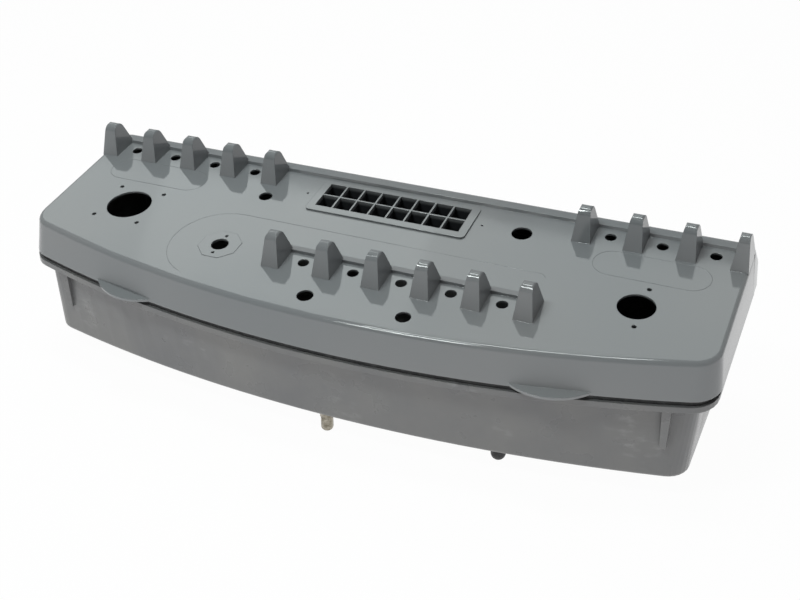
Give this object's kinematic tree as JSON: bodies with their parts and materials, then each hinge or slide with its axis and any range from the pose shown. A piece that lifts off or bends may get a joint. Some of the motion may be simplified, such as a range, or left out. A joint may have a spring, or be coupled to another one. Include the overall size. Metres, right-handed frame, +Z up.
{
  "type": "vehicle control console box",
  "caption": "Sloping control console box: a bow-fronted lid with guarded switch holes, joystick holes and a lamp grid, hinged to a moulded tub on rubber feet.",
  "frame": {"origin": "middle of the box's base, on the surface that the feet stand on", "axes": "+X to the right as seen from the front, +Y to the hinged back, +Z up"},
  "size_m": [0.7998, 0.2878, 0.2278],
  "materials": {
    "lid_plastic": "gloss moulded plastic",
    "tub_plastic": "satin moulded plastic, lightly scuffed",
    "rubber": "black rubber",
    "zinc": "zinc-plated steel",
    "nickel": "nickel-plated brass"
  },
  "bodies": {
    "tub": {"tub": "tub_plastic", "gasket": "rubber", "hinge_leaf_tub_left": "zinc", "hinge_leaf_tub_right": "zinc", "hinge_pin_left": "zinc", "hinge_pin_right": "zinc", "hinge_screws_tub": "zinc", "hinge_nuts_tub": "zinc", "foot_front_left": "rubber", "foot_front_right": "rubber", "foot_rear_left": "rubber", "foot_rear_right": "rubber", "foot_screws": "zinc", "foot_washers": "zinc", "foot_nuts": "zinc", "gland_body": "nickel", "gland_seal": "rubber", "gland_insert": "rubber", "gland_cap": "nickel", "gland_locknut": "nickel", "blind_grommet": "rubber"},
    "lid": {"lid": "lid_plastic", "lamp_grid": "lid_plastic", "hinge_leaf_lid_left": "zinc", "hinge_leaf_lid_right": "zinc", "hinge_screws_lid": "zinc", "hinge_nuts_lid": "zinc"}
  },
  "joints": [
    {"name": "lid_hinge", "type": "hinge", "parent": "tub", "child": "lid", "pos_m": [0, 0.1399, 0.154], "axis": [-1, 0, 0], "range_deg": [0, 100]}
  ]
}
